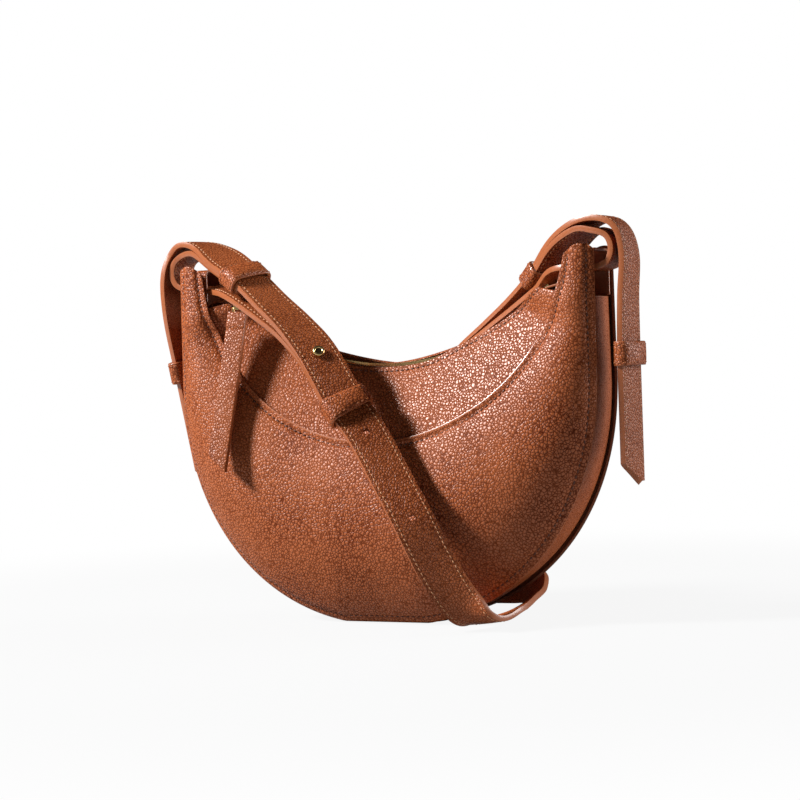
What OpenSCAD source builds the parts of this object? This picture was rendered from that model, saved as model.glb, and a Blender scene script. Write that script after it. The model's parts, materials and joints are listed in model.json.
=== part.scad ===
// Half moon shoulder bag: two domed leather sides, a gusset between them,
// a zip along the inner arc, and one long strap threaded over both horns.
// X runs across the bag, Y from front to back, Z up from the flat base.

/* [Body] */
// Width of the bag from rim to rim
bag_w = 256; // [226:2:290]
// Height of the horn tips above the base
bag_h = 205; // [180:1:230]
// Width of the gusset at the bottom
gusset_w = 36; // [33:0.5:46]
// Width of the gusset at the horns
gusset_top_w = 29; // [28:0.5:34]
// How far the front side domes out in front of its rim
front_bulge = 26; // [16:0.5:28]
// How far the back side domes out behind its rim
back_bulge = 29; // [18:0.5:31]
// Width of each horn at its top
horn_w = 16; // [13:0.5:20]
// How far the curved lap seam dips below the horn tips
seam_low = 104; // [97:1:117]
// How far the zip dips below the horn tips
zip_low = 63; // [55:1:73]
// Length of the flat that the bag stands on
base_len = 52; // [40:2:80]

/* [Leather] */
// Thickness of the outer leather
leather_t = 1.4; // [1.2:0.1:1.8]
// Thickness of the foam behind the two sides
foam_t = 1.2; // [0.8:0.1:1.6]
// Thickness of the cloth lining
lining_t = 0.6; // [0.4:0.1:1]
// Air between two soft layers
layer_gap = 0.3; // [0.2:0.05:0.4]
// How far the raw rim stands out past the gusset
rim_h = 4.5; // [3.5:0.25:6]
// How far the gusset swells outwards between the rims
gusset_swell = 3; // [1:0.25:3.5]
// Thickness of the board in the base
board_t = 1.8; // [1.2:0.1:2.4]

/* [Zip] */
// Half of the gap between the two sides along the zip
mouth_half = 8; // [7.6:0.1:9]
// Height of the front leather edge above the zip tape
front_lip = 0.5; // [0.3:0.1:1]
// Height of the back leather edge above the zip tape
back_lip = 3.4; // [2.4:0.2:4]
// Thickness of the zip tape
tape_t = 0.8; // [0.6:0.1:1]
// Spacing of the teeth along the zip
tooth_pitch = 2.6; // [2.2:0.1:3.2]
// Width of one tooth across the zip
tooth_w = 2.4; // [2:0.1:2.8]
// Height of the teeth
tooth_h = 1.8; // [1.4:0.1:2.2]
// Place of the parked slider, measured along the zip from its end
slider_x = 28.3; // [27:0.5:38]
// Length of the slider
slider_len = 9; // [8:0.5:10]
// Width of the slider
slider_w = 8; // [7:0.25:9]
// Height of the slider above the teeth
slider_h = 2.2; // [1.8:0.1:2.6]

/* [Pull] */
// Width of the leather pull
pull_w = 12; // [10:0.5:14]
// Length of the leather pull
pull_len = 97; // [80:1:105]
// Thickness of the leather pull
pull_t = 3; // [2.4:0.1:3.2]
// Diameter of the wire that carries the pull
ring_d = 1.6; // [1.4:0.1:1.8]

/* [Strap] */
// Width of the strap
strap_w = 22; // [18:0.5:22.5]
// Thickness of the strap
strap_t = 3; // [2.4:0.1:3.2]
// Diameter of the punched holes
hole_d = 4; // [3:0.25:5]
// Diameter of the stud heads
stud_d = 7; // [6:0.25:8]
// Width of a keeper along the strap
keeper_w = 13; // [10:0.5:16]
// Thickness of a keeper's leather
keeper_t = 1.8; // [1.4:0.1:2]
// Space between a keeper and the straps inside it
keeper_gap = 0.5; // [0.4:0.05:0.7]

/* [Hidden] */

front = -1;
back = 1;
half_w = bag_w / 2;
seam_half = half_w - horn_w;
// Share of each half of the grid that the round lower part takes
low_share = 11 / 16;
// Height at which the sides turn upright, as a share of the height
shoulder_share = 0.66;
// Height of the rim's end at the horn, as a share of the height
rim_top_share = 0.985;
// Height of a horn's inner corner, as a share of the height
horn_in_share = 0.97;
// Roundness of the lower outline: 2 is an ellipse
round_power = 2.15;
// Lap seam and zip edge, as angles at the shoulder and at the horn
seam_angles = [58, 84];
mouth_shares = [0.56, 1];
// Place of the seam across the side, as a share from rim to mouth
seam_share = 0.71;
// Steps along the sides, and where gusset, yokes and foam end, as shares of them
along = 32;
end_share = 14 / 16;
foam_end_share = 13 / 16;
board_end_share = 5 / 16;
pocket_end_share = 4 / 16;
// Lines across the sides, from rim to mouth; the second one is the rim's stitch line
line_shares = [0, 0.06, 0.14, 0.26, 0.42, 0.58, 0.66, 0.71, 0.8, 0.9, 1];
// Lines across the gusset, from front to back
cross_shares = [-1, -0.78, -0.4, 0, 0.4, 0.78, 1];
// Curvature of the two domes, and how their depth fades towards the horns
front_dome_power = 0.8;
back_dome_powers = [0.66, 0.8];
fade_power = 0.9;
// Share of a horn's width by which the zip arc ends short of it
arc_end_share = 0.16;
// Where the mouth opens to its full width, as shares of the side
mouth_open_shares = [0.76, 0.86];
// Where the zip edge's rise ends
lip_end_share = 0.8;
lip_peak_share = 0.9;
// Step that is used to find a slope
step_share = 0.004;

// Zip arc: through its lowest point and the tops of the horns
zip_bottom = bag_h - zip_low;
seam_bottom = bag_h - seam_low;
zip_end_x = seam_half - horn_w * arc_end_share;
zip_rise = bag_h * horn_in_share - horn_w * arc_end_share - zip_bottom;
zip_r = (zip_end_x * zip_end_x + zip_rise * zip_rise) / (2 * zip_rise);
zip_cz = zip_bottom + zip_r;
zip_end_angle = asin(zip_end_x / zip_r);
park_angle = zip_end_angle - turn(slider_x);
// Distance of each stop from the parked slider, as a share of its length
stop_share = 0.75;
stop_angle = park_angle + turn(slider_len * stop_share);
overrun = leather_t;
function turn(length) = asin(length / zip_r);

function lerp(a, b, t) = a + (b - a) * t;
function smooth(t) = let (c = max(0, min(1, t))) c * c * (3 - 2 * c);
function unit(v) = v / norm(v);

// Two linear stretches, meeting at the shoulder
function stretch(u, mid, last) =
    abs(u) <= low_share ? mid * abs(u) / low_share
    : lerp(mid, last, (abs(u) - low_share) / (1 - low_share));

// The lowest part of the rim, over the length of the base, is pressed flat
base_drop_share = 1 - pow(1 - pow(base_len / bag_w, round_power), 1 / round_power);
function flattened(share) = max(0, share - base_drop_share) / (1 - base_drop_share);

// Outline of the rim, the lap seam and the zip edge, as [x, z]
function rim_pt(u) =
    let (a = stretch(u, 90, 90), s = sign(u), zs = bag_h * shoulder_share)
    abs(u) <= low_share
    ? [s * half_w * pow(sin(a), 2 / round_power), flattened(1 - pow(cos(a), 2 / round_power)) * zs]
    : [s * half_w, lerp(zs, bag_h * rim_top_share, (abs(u) - low_share) / (1 - low_share))];
function seam_pt(u) =
    let (a = stretch(u, seam_angles[0], seam_angles[1]))
    [sign(u) * seam_half * sin(a),
     lerp(seam_bottom, bag_h * horn_in_share, (1 - cos(a)) / (1 - cos(seam_angles[1])))];
function mouth_pt(side, u) =
    let (a = zip_end_angle * stretch(u, mouth_shares[0], mouth_shares[1]))
    [sign(u) * zip_r * sin(a), zip_cz - zip_r * cos(a) + lip(side, u)];
function lip(side, u) = (side == front ? front_lip : back_lip) * (1 + lip_end_share * sin(180 * min(1, abs(u) / lip_peak_share))
    - smooth((abs(u) - lip_end_share) / (1 - lip_end_share)));
function plane_pt(side, u, v) =
    v <= seam_share ? lerp(rim_pt(u), seam_pt(u), v / seam_share)
    : lerp(seam_pt(u), mouth_pt(side, u), (v - seam_share) / (1 - seam_share));

// Depth of a side in front of or behind the middle plane
function span(side, u) = norm(rim_pt(u) - mouth_pt(side, u));
function span_share(side, u) = pow(span(side, u) / span(side, 0), fade_power);
function rim_half(u) = lerp(gusset_w, gusset_top_w, rim_pt(u)[1] / bag_h) / 2;
function mouth_depth(u) = lerp(mouth_half, gusset_top_w / 2, smooth(
    (abs(u) - mouth_open_shares[0]) / (mouth_open_shares[1] - mouth_open_shares[0])));
function dome(side, v) = let (f = sin(180 * pow(v, front_dome_power)),
    b = pow(sin(180 * pow(v, back_dome_powers[0])), back_dome_powers[1]))
    side == front ? f : lerp(f, b, smooth((v - rim_share(0)) / line_shares[2]));
function depth(side, u, v) = lerp(rim_half(u), mouth_depth(u), v)
    + (side == front ? front_bulge : back_bulge) * span_share(side, u) * dome(side, v);
function skin(side, u, v) = let (p = plane_pt(side, u, v)) [p[0], side * depth(side, u, v), p[1]];

// Outward normal, from two short steps on the surface
function facing(side, u, v) = let (d = step_share, w = max(2 * d, min(1 - 2 * d, v)),
    a = skin(side, min(1, u + d), w) - skin(side, max(-1, u - d), w),
    b = skin(side, u, w + d) - skin(side, u, w - d), n = unit(cross(a, b)))
    n[1] * side > 0 ? n : -n;
// The rim's flange has the same width all round; all layers use the same lines
function rim_share(u) = seam_share * rim_h / norm(seam_pt(u) - rim_pt(u));
function line_pt(u, v) = let (f = line_shares[1]) v <= f ? rim_share(u) * v / f
    : v <= seam_share ? lerp(rim_share(u), seam_share, (v - f) / (seam_share - f)) : v;
function under(side, u, v, off) = let (w = line_pt(u, v)) skin(side, u, w) - off * facing(side, u, w);
function u_steps(end) = let (n = round(end * along / 2)) [for (i = [-n:n]) 2 * i / along];
function lines(first, last) = [for (v = line_shares) if (v >= first - step_share && v <= last + step_share) v];

function reversed(faces) = [for (f = faces) [f[2], f[1], f[0]]];

// A closed solid between two grids of points, rows first
module solid_grid(outer, inner, flip = false) {
    rows = len(outer);
    cols = len(outer[0]);
    n = rows * cols;
    pts = concat([for (r = outer) each r], [for (r = inner) each r]);
    function id(l, r, c) = l * n + r * cols + c;
    function quad(a, b, c, d) = [[a, b, c], [a, c, d]];
    faces = concat(
        [for (r = [0:rows - 2], c = [0:cols - 2])
            each quad(id(0, r, c), id(0, r, c + 1), id(0, r + 1, c + 1), id(0, r + 1, c))],
        [for (r = [0:rows - 2], c = [0:cols - 2])
            each quad(id(1, r, c), id(1, r + 1, c), id(1, r + 1, c + 1), id(1, r, c + 1))],
        [for (r = [0:rows - 2]) each quad(id(0, r, 0), id(0, r + 1, 0), id(1, r + 1, 0), id(1, r, 0))],
        [for (r = [0:rows - 2])
            each quad(id(0, r, cols - 1), id(1, r, cols - 1), id(1, r + 1, cols - 1), id(0, r + 1, cols - 1))],
        [for (c = [0:cols - 2]) each quad(id(0, 0, c), id(1, 0, c), id(1, 0, c + 1), id(0, 0, c + 1))],
        [for (c = [0:cols - 2])
            each quad(id(0, rows - 1, c), id(0, rows - 1, c + 1), id(1, rows - 1, c + 1), id(1, rows - 1, c))]);
    polyhedron(pts, flip ? faces : reversed(faces), convexity = 8);
}

// A sheet that follows one side, between two depths under its skin
module side_sheet(side, u_end, v0, v1, off0, off1) {
    function grid(off) = [for (u = u_steps(u_end)) [for (v = lines(v0, v1)) under(side, u, v, off)]];
    solid_grid(grid(off0), grid(off1), side == front);
}

// Gusset: its two edges run just inside the two sides, and it swells between them
function rim_out(u) = let (d = 2 * step_share, a = rim_pt(min(1, u + d)) - rim_pt(max(-1, u - d)))
    [a[1], -a[0]] / norm(a);
function flatness(u) = 1 - smooth((abs(rim_pt(u)[0]) - base_len / 2) / base_len);
function swell(u) = lerp(gusset_swell, rim_h + 1.5 * leather_t, flatness(u));
function gusset_pt(u, w, off) = let (
    a = under(front, u, line_shares[1], leather_t + layer_gap),
    b = under(back, u, line_shares[1], leather_t + layer_gap),
    p = lerp(a, b, (1 + w) / 2), o = rim_out(u) * (swell(u) * (1 - pow(w, 4)) - off))
    [p[0] + o[0], p[1], max(p[2] + o[1], off - press)];
// How far the base is pressed into the table before it is cut flat
press = leather_t / 4;

module gusset() {
    function grid(off) = [for (u = u_steps(end_share)) [for (w = cross_shares) gusset_pt(u, w, off)]];
    color("saddlebrown") difference() {
        solid_grid(grid(0), grid(leather_t));
        translate([-half_w, -half_w, -2 * press]) cube([bag_w, bag_w, 2 * press]);
    }
}

// Outer leather of the two sides
yoke_start_share = line_shares[6];
module panel(side) color("sienna")
    side_sheet(side, 1, 0, seam_share, 0, leather_t);
module yoke(side) color("peru")
    side_sheet(side, end_share, yoke_start_share, 1, leather_t + layer_gap, 2 * leather_t + layer_gap);
module front_panel() panel(front);
module back_panel() panel(back);
module front_yoke() yoke(front);
module back_yoke() yoke(back);

// Foam and lining, inside the leather
foam_off = 2 * leather_t + 2 * layer_gap;
lining_off = foam_off + foam_t + 2 * layer_gap;
module foam(side) color("whitesmoke")
    side_sheet(side, foam_end_share, line_shares[2], line_shares[9], foam_off, foam_off + foam_t);
module front_foam() foam(front);
module back_foam() foam(back);

// The lining is one cloth bag, open along the zip
lining_lines = lines(line_shares[2], line_shares[9]);
inner_cross = [for (w = cross_shares) if (abs(w) < 1) w];
module lining() {
    function row(u, off) = concat(
        [for (i = [len(lining_lines) - 1:-1:0]) under(front, u, lining_lines[i], lining_off + off)],
        [for (w = inner_cross) gusset_pt(u, w, leather_t + board_t + 2 * layer_gap + off)],
        [for (v = lining_lines) under(back, u, v, lining_off + off)]);
    function grid(off) = [for (u = u_steps(foam_end_share)) row(u, off)];
    color("tan") solid_grid(grid(0), grid(lining_t));
}

// Stiff board between the gusset and the lining, along the base
module base_board() {
    function grid(off) = [for (u = u_steps(board_end_share))
        [for (w = inner_cross) gusset_pt(u, w, leather_t + layer_gap + off)]];
    color("gray") solid_grid(grid(0), grid(board_t));
}

// Slip pocket sewn to the back lining
module inner_pocket() color("burlywood")
    side_sheet(back, pocket_end_share, line_shares[3], line_shares[8],
        lining_off + lining_t + layer_gap, lining_off + 2 * lining_t + layer_gap);

// Horns: a leather bridge joins front and back over the tunnel of the strap
tunnel_half = gusset_top_w / 2 - leather_t - 2 * layer_gap;
bridge_leg = horn_w / 2;
bridge_top = bag_h * rim_top_share - layer_gap;
bridge_bevel = bridge_leg / 2;
module horn_bridge(side) {
    h = tunnel_half;
    i = tunnel_half - leather_t;
    low = bridge_top - bridge_leg;
    under_top = bridge_top - leather_t;
    color("sienna") translate([side * (seam_half + half_w) / 2 - horn_w / 2 + leather_t, 0, 0])
        rotate([90, 0, 90]) linear_extrude(horn_w - 2 * leather_t) polygon([
            [-h, low], [-h, bridge_top - bridge_bevel], [bridge_bevel - h, bridge_top],
            [h - bridge_bevel, bridge_top], [h, bridge_top - bridge_bevel], [h, low],
            [i, low], [i, under_top - bridge_bevel], [i - bridge_bevel, under_top],
            [bridge_bevel - i, under_top], [-i, under_top - bridge_bevel], [-i, low]]);
}
module left_horn_bridge() horn_bridge(-1);
module right_horn_bridge() horn_bridge(1);

// End caps: leather that closes the bag under each tunnel
gusset_top = rim_pt(end_share)[1];
cap_in = [zip_r * sin(stop_angle) + tooth_pitch, zip_cz - zip_r * cos(stop_angle) + tooth_h];
cap_crown = [seam_half - rim_h, gusset_top + 2 * rim_h];
cap_out = [half_w - rim_h - 2 * leather_t - layer_gap, gusset_top];
cap_half = tunnel_half - 2 * leather_t;
// Where the cap's two slopes are highest
cap_bow_shares = [0.5, 0.6];
module end_cap(side) {
    line = [cap_in, lerp(cap_in, cap_crown, cap_bow_shares[0]) + [0, leather_t], cap_crown,
        lerp(cap_crown, cap_out, cap_bow_shares[1]) + [0, leather_t], cap_out, cap_out - [0, horn_w / 2]];
    inner = [for (p = line) p - [leather_t / 2 * (p[0] < cap_out[0] ? 0 : 2), leather_t * (p[0] < cap_out[0] ? 1 : 0)]];
    color("sienna") mirror([side < 0 ? 1 : 0, 0, 0]) translate([0, cap_half, 0]) rotate([90, 0, 0])
        linear_extrude(2 * cap_half)
            polygon(concat(line, [for (k = [len(inner) - 1:-1:0]) inner[k]]));
}
module left_end_cap() end_cap(-1);
module right_end_cap() end_cap(1);

// Zip: everything on it is placed by an angle on the zip arc
module on_zip(angle) {
    translate([0, 0, zip_cz]) rotate([0, angle, 0]) translate([0, 0, -zip_r]) children();
}
module zip_band(y0, y1, z0, z1, half_angle) {
    translate([0, 0, zip_cz]) rotate([90, 0, 0]) rotate([0, 0, -90 - half_angle])
        rotate_extrude(angle = 2 * half_angle, $fn = 180)
            polygon([[zip_r - z0, -y0], [zip_r - z0, -y1], [zip_r - z1, -y1], [zip_r - z1, -y0]]);
}
tape_half = mouth_half - 2 * leather_t - 3 * layer_gap;
tooth_low = layer_gap / 3;
bead_in = tooth_w * 0.6;
bead_w = tooth_w / 3;
module zip_tape(side) {
    y = [side * layer_gap, side * tape_half];
    color("saddlebrown") zip_band(min(y), max(y), -tape_t, 0, stop_angle);
}
module front_zip_tape() zip_tape(front);
module back_zip_tape() zip_tape(back);

tooth_step = turn(tooth_pitch);
tooth_len = tooth_pitch * 0.4;
// Places of the first tooth of the back and the front row, as shares of the pitch
tooth_phase_shares = [1.25, 0.75];
tooth_reach = bead_in * 0.6;
tooth_count = floor((2 * stop_angle - 2 * tooth_step) / tooth_step);
module zip_teeth(side) {
    y = [side * bead_in, side * (bead_in + bead_w)];
    color("gold") {
        zip_band(min(y), max(y), tooth_low, tooth_h, stop_angle - tooth_step / 2);
        for (k = [0:tooth_count - 1])
            on_zip(stop_angle - tooth_step * (k + tooth_phase_shares[side > 0 ? 0 : 1]))
                translate([-tooth_len / 2, side > 0 ? -tooth_reach : -bead_in - bead_w / 2, tooth_low])
                    cube([tooth_len, tooth_reach + bead_in + bead_w / 2, tooth_h - tooth_low]);
    }
}
module front_zip_teeth() zip_teeth(front);
module back_zip_teeth() zip_teeth(back);

stop_len = tooth_pitch;
module zip_stop(side) color("gold") on_zip(-side * (stop_angle + tooth_step * 0.8))
    translate([-stop_len / 2, -bead_in - bead_w, tooth_low])
        cube([stop_len, 2 * (bead_in + bead_w), tooth_h - tooth_low]);
module left_zip_stop() zip_stop(-1);
module right_zip_stop() zip_stop(1);

// Slider: a plate over the teeth, two cheeks beside them, and an arm to the front
run_gap = layer_gap;
plate_low = tooth_h + run_gap;
cheek_in = bead_in + bead_w + run_gap;
arm_z = 2 * slider_h + ring_d / 2 + run_gap;
arm_end = gusset_w / 2 + 2 * ring_d + pull_t / 2;
ring_half = pull_w / 4;
ring_drop = 3 * ring_d + pull_t / 2;
module zip_slider() color("gold") on_zip(park_angle) {
    translate([-slider_len / 2, -slider_w / 2, plate_low]) cube([slider_len, slider_w, slider_h / 2]);
    for (s = [-1, 1]) translate([-slider_len / 2, s > 0 ? cheek_in : -slider_w / 2, run_gap])
        cube([slider_len, slider_w / 2 - cheek_in, plate_low + slider_h / 2 - run_gap]);
    translate([-ring_d, -slider_w / 4, plate_low]) cube([2 * ring_d, slider_w / 2, arm_z - plate_low]);
    translate([0, slider_w / 4, arm_z]) rotate([90, 0, 0]) cylinder(d = ring_d, h = arm_end + slider_w / 4, $fn = 32);
}

// Ring: hangs from the arm's end; the strip of the pull folds over its lower bar
arm_tip = [-zip_r * sin(park_angle) + arm_z * sin(park_angle), -arm_end,
    zip_cz - (zip_r - arm_z) * cos(park_angle)];
ring_y = -arm_end + ring_d;
ring_bore = ring_d + layer_gap / 2;
// How the pull hangs: out over the dome, and aside
pull_lean = 16.3;
pull_tilt = 2;
module on_arm() translate([arm_tip[0], ring_y, arm_tip[2]]) rotate([0, pull_tilt, 0]) children();
module pull_ring() color("gold") on_arm() {
    bar_z = ring_bore / 2 + ring_d / 2;
    difference() {
        rotate([90, 0, 0]) cylinder(d = ring_bore + 2 * ring_d, h = ring_d, center = true, $fn = 48);
        rotate([90, 0, 0]) cylinder(d = ring_bore, h = ring_d + overrun, center = true, $fn = 48);
    }
    for (s = [-1, 1]) translate([s * ring_half, 0, -ring_drop])
        cylinder(d = ring_d, h = ring_drop - bar_z, $fn = 32);
    for (z = [bar_z, ring_drop]) translate([-ring_half, 0, -z]) rotate([0, 90, 0])
        cylinder(d = ring_d, h = 2 * ring_half, $fn = 32);
}

// Leather pull: a long strip that hangs in front of the bag, leaning on its dome
pull_neck = 2 * ring_half - ring_d - 2 * run_gap;
neck_len = pull_w * 0.75;
pull_slant = pull_w * 0.75;
module leather_pull() color("sienna")
    on_arm() translate([0, 0, -ring_drop]) rotate([-pull_lean, 0, 0]) difference() {
        union() {
            rotate([0, 90, 0]) cylinder(d = ring_d + pull_t, h = pull_neck, center = true, $fn = 48);
            translate([0, pull_t / 2, 0]) rotate([90, 0, 0]) linear_extrude(pull_t) polygon([
                [-pull_neck / 2, 0], [-pull_neck / 2, -ring_d], [-pull_w / 2, -neck_len],
                [-pull_w / 2, ring_drop + pull_slant - pull_len], [pull_w / 2, ring_drop - pull_len],
                [pull_w / 2, -neck_len], [pull_neck / 2, -ring_d], [pull_neck / 2, 0]]);
        }
        rotate([0, 90, 0]) cylinder(d = ring_bore, h = 2 * pull_w, center = true, $fn = 48);
    }

// Straps: a strap is a route of places and outward facings, as shares of
// half the bag's width, of the front dome's depth and of the bag's height
dome_depth = gusset_w / 2 + front_bulge;
function curve(a, b, c, d, t) =
    0.5 * (2 * b + (c - a) * t + (2 * a - 5 * b + 4 * c - d) * t * t + (3 * b - a - 3 * c + d) * t * t * t);
function along_route(r, n) = let (m = len(r) - 1)
    [for (i = [0:m - 1], j = [0:n - 1]) curve(r[max(0, i - 1)], r[i], r[i + 1], r[min(m, i + 2)], j / n), r[m]];
function place(p, shift = 0) = let (f = unit([p[3], p[4], p[5]]))
    [p[0] * half_w - shift * f[0], p[1] * dome_depth - shift * f[1], p[2] * bag_h - shift * f[2]];
function frame_of(pts, i) = let (m = len(pts) - 1,
    t = unit([for (k = [0:2]) pts[min(m, i + 1)][k] - pts[max(0, i - 1)][k]]),
    f = [pts[i][3], pts[i][4], pts[i][5]], n = unit(f - (f * t) * t)) [t, n, cross(n, t)];
function strap_line(shares, steps) =
    let (r = [for (p = shares) concat(place(p, len(p) > 6 ? p[6] * layer : 0), [p[3], p[4], p[5]])])
    along_route(r, steps);
layer = strap_t + layer_gap;

// A strap along a route; its ends may be pointed, to this share of its width
tip_share = 0.12;
module strap_solid(pts, tip_start, tip_end) {
    m = len(pts) - 1;
    function share(i) = (i == 0 && tip_start) || (i == m && tip_end) ? tip_share : 1;
    function ring(i) = let (f = frame_of(pts, i), c = [pts[i][0], pts[i][1], pts[i][2]],
        w = f[2] * strap_w / 2 * share(i), h = f[1] * strap_t / 2) [c - w - h, c + w - h, c + w + h, c - w + h];
    corners = [for (i = [0:m]) each ring(i)];
    faces = concat(
        [for (i = [0:m - 1], k = [0:3]) let (a = 4 * i + k, b = 4 * i + (k + 1) % 4)
            each [[a, b, b + 4], [a, b + 4, a + 4]]],
        [[3, 2, 1], [3, 1, 0], [4 * m, 4 * m + 1, 4 * m + 2], [4 * m, 4 * m + 2, 4 * m + 3]]);
    polyhedron(corners, reversed(faces), convexity = 10);
}

// One horn's end of the main strap: tail, outer loop and run down the side
tail_shares = [
    [-1.03, 0.4, 0.371, -1, 0.12, 0], [-1.0357, 0.3524, 0.421, -1, 0.12, 0],
    [-1.0492, 0.239, 0.54, -1, 0.12, 0], [-1.0681, 0.081, 0.706, -1, 0.12, 0],
    [-1.085, -0.06, 0.854, -1, 0.12, 0], [-1.1, -0.05, 0.961, -1, 0.05, 0.05],
    [-1.072, 0, 1.031, -0.8, 0, 0.6], [-1, -0.02, 1.06, -0.1, 0, 1],
    [-0.895, -0.1, 1.05, 0.3, -0.15, 0.93], [-0.763, -0.295, 1.009, 0.3, -0.42, 0.85],
    [-0.625, -0.5, 0.959, 0.42, -0.38, 0.83], [-0.471, -0.648, 0.882, 0.5, -0.41, 0.76],
    [-0.34, -0.739, 0.815, 0.51, -0.5, 0.7], [-0.212, -0.841, 0.734, 0.48, -0.68, 0.56],
    [-0.057, -0.989, 0.598, 0.44, -0.75, 0.49]];
// Down the front, round under the corner, and behind the bag
loop_shares = [
    [0.043, -1.045, 0.521, 0.44, -0.75, 0.49], [0.166, -1.182, 0.411, 0.42, -0.77, 0.48],
    [0.286, -1.307, 0.299, 0.44, -0.83, 0.31], [0.378, -1.25, 0.175, 0.45, -0.88, 0.1],
    [0.464, -1.114, 0.072, 0.3, -0.9, -0.25], [0.54, -0.92, 0.026, 0.1, -0.2, -0.98],
    [0.575, -0.5, 0.03, 0.3, 0, -0.95], [0.575, -0.05, 0.036, 0.5, 0.05, -0.86],
    [0.565, 0.4, 0.045, 0.62, 0.1, -0.78], [0.54, 0.76, 0.062, 0.75, 0.35, -0.5],
    [0.46, 1.06, 0.073, 0.5, 0.85, -0.1], [0.328, 1.3, 0.066, 0.1, 1, 0],
    [0.094, 1.43, 0.064, -0.05, 1, 0], [-0.156, 1.42, 0.088, -0.25, 0.97, 0],
    [-0.312, 1.33, 0.18, -0.2, 0.97, 0], [-0.284, 1.24, 0.297, -0.35, 0.9, 0.2],
    [-0.166, 1.13, 0.411, -0.42, 0.77, 0.48], [-0.043, 1.02, 0.51, -0.44, 0.75, 0.49]];
rise_shares = [
    [0.06, 0.94, 0.585, -0.44, 0.75, 0.49], [0.24, 0.81, 0.7, -0.48, 0.68, 0.56],
    [0.4, 0.7, 0.782, -0.51, 0.5, 0.7], [0.55, 0.57, 0.855, -0.5, 0.41, 0.76],
    [0.672, 0.43, 0.922, -0.46, 0.36, 0.81], [0.79, 0.25, 1.0, -0.38, 0.36, 0.85],
    [0.905, 0.09, 1.05, -0.3, 0.15, 0.93], [1.01, 0.02, 1.06, 0.1, 0, 1],
    [1.085, 0, 1.031, 0.8, 0, 0.6], [1.115, 0, 0.961, 1, -0.05, 0.05],
    [1.105, 0, 0.854, 1, -0.08, 0], [1.1, 0, 0.706, 1, -0.12, 0],
    [1.1, 0, 0.54, 1, -0.12, 0], [1.1, 0, 0.421, 1, -0.12, 0], [1.1, 0, 0.371, 1, -0.12, 0]];
main_shares = concat(tail_shares, loop_shares, rise_shares);
steps = 3;
main_line = strap_line(main_shares, steps);
// Punched holes lie at these points of the route
stud_at = len(tail_shares) - 2;
keeper_at = stud_at + 1;
hole_marks = [stud_at, stud_at + 2, stud_at + 4];
module at_line(pts, i) {
    f = frame_of(pts, i);
    b = acos(f[1][2]);
    c = atan2(f[1][1], f[1][0]);
    translate([pts[i][0], pts[i][1], pts[i][2]]) rotate([0, b, c]) children();
}
module main_strap() color("peru") difference() {
    strap_solid(main_line, true, true);
    for (k = hole_marks) at_line(main_line, steps * k)
        cylinder(d = hole_d, h = strap_t + 2 * overrun, center = true, $fn = 24);
    at_line(main_line, steps * (len(main_shares) - 1 - stud_at))
        cylinder(d = hole_d, h = strap_t + 2 * overrun, center = true, $fn = 24);
}

// Anchor strap: from under the stud, below the keeper, through the tunnel,
// over the bridge and back to the keeper; a seventh number counts layers down
// Height of the anchor strap's middle over the arm's tip, as a share of a strap layer
anchor_over_share = 2;
// How many layers the anchor strap lies under the main one where it passes over the slider
over_facing = [0.42, -0.38, 0.83];
over_layers = (0.959 * bag_h - arm_tip[2] - anchor_over_share * layer) / (layer * unit(over_facing)[2]);
anchor_shares = [
    [-0.018, -1.01, 0.567, 0.44, -0.75, 0.49, 1], [-0.057, -0.989, 0.598, 0.44, -0.75, 0.49, 1],
    [-0.212, -0.841, 0.734, 0.48, -0.68, 0.56, 1], [-0.34, -0.739, 0.815, 0.51, -0.5, 0.7, 1.3],
    [-0.471, -0.648, 0.882, 0.5, -0.41, 0.76, 2.2], [-0.625, -0.5, 0.959, 0.42, -0.38, 0.83, over_layers],
    [-0.83, -0.05, 0.929, 0, -0.1, 1, 0], [-0.92, 0, 0.933, 0, 0, 1, 0],
    [-1, 0, 0.935, 0.05, 0, 1, 0], [-1.043, 0, 0.948, 0.6, 0, 0.8, 0],
    [-1.06, 0, 0.979, 1, 0, 0, 0], [-1.043, 0, 1.01, 0.7, 0, -0.7, 0],
    [-0.992, -0.01, 1.026, 0.1, 0, -1, 0], [-0.895, -0.1, 1.05, -0.3, 0.15, -0.93, -1.3],
    [-0.763, -0.295, 1.009, -0.3, 0.42, -0.85, -1.05], [-0.625, -0.5, 0.959, -0.42, 0.38, -0.83, -1.05],
    [-0.58, -0.545, 0.938, -0.45, 0.39, -0.8, -1.1]];
back_anchor_shares = [
    [0.018, 0.97, 0.556, -0.44, 0.75, 0.49, 1], [0.06, 0.94, 0.585, -0.44, 0.75, 0.49, 1],
    [0.24, 0.81, 0.7, -0.48, 0.68, 0.56, 1], [0.4, 0.7, 0.782, -0.51, 0.5, 0.7, 1.3],
    [0.55, 0.57, 0.855, -0.5, 0.41, 0.76, 2], [0.672, 0.43, 0.922, -0.46, 0.36, 0.81, 3.05],
    [0.83, 0.05, 0.929, 0, 0.1, 1, 0], [0.92, 0, 0.933, 0, 0, 1, 0],
    [1, 0, 0.935, -0.05, 0, 1, 0], [1.043, 0, 0.948, -0.6, 0, 0.8, 0],
    [1.06, 0, 0.979, -1, 0, 0, 0], [1.043, 0, 1.01, -0.7, 0, -0.7, 0],
    [0.992, 0.01, 1.026, -0.1, 0, -1, 0], [0.905, 0.09, 1.05, 0.3, -0.15, -0.93, -1.33],
    [0.79, 0.25, 1.0, 0.38, -0.36, -0.85, -1.09], [0.672, 0.43, 0.922, 0.46, -0.36, -0.81, -1.08],
    [0.636, 0.471, 0.902, 0.48, -0.38, -0.79, -1.12]];
left_anchor_line = strap_line(anchor_shares, steps);
right_anchor_line = strap_line(back_anchor_shares, steps);
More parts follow.
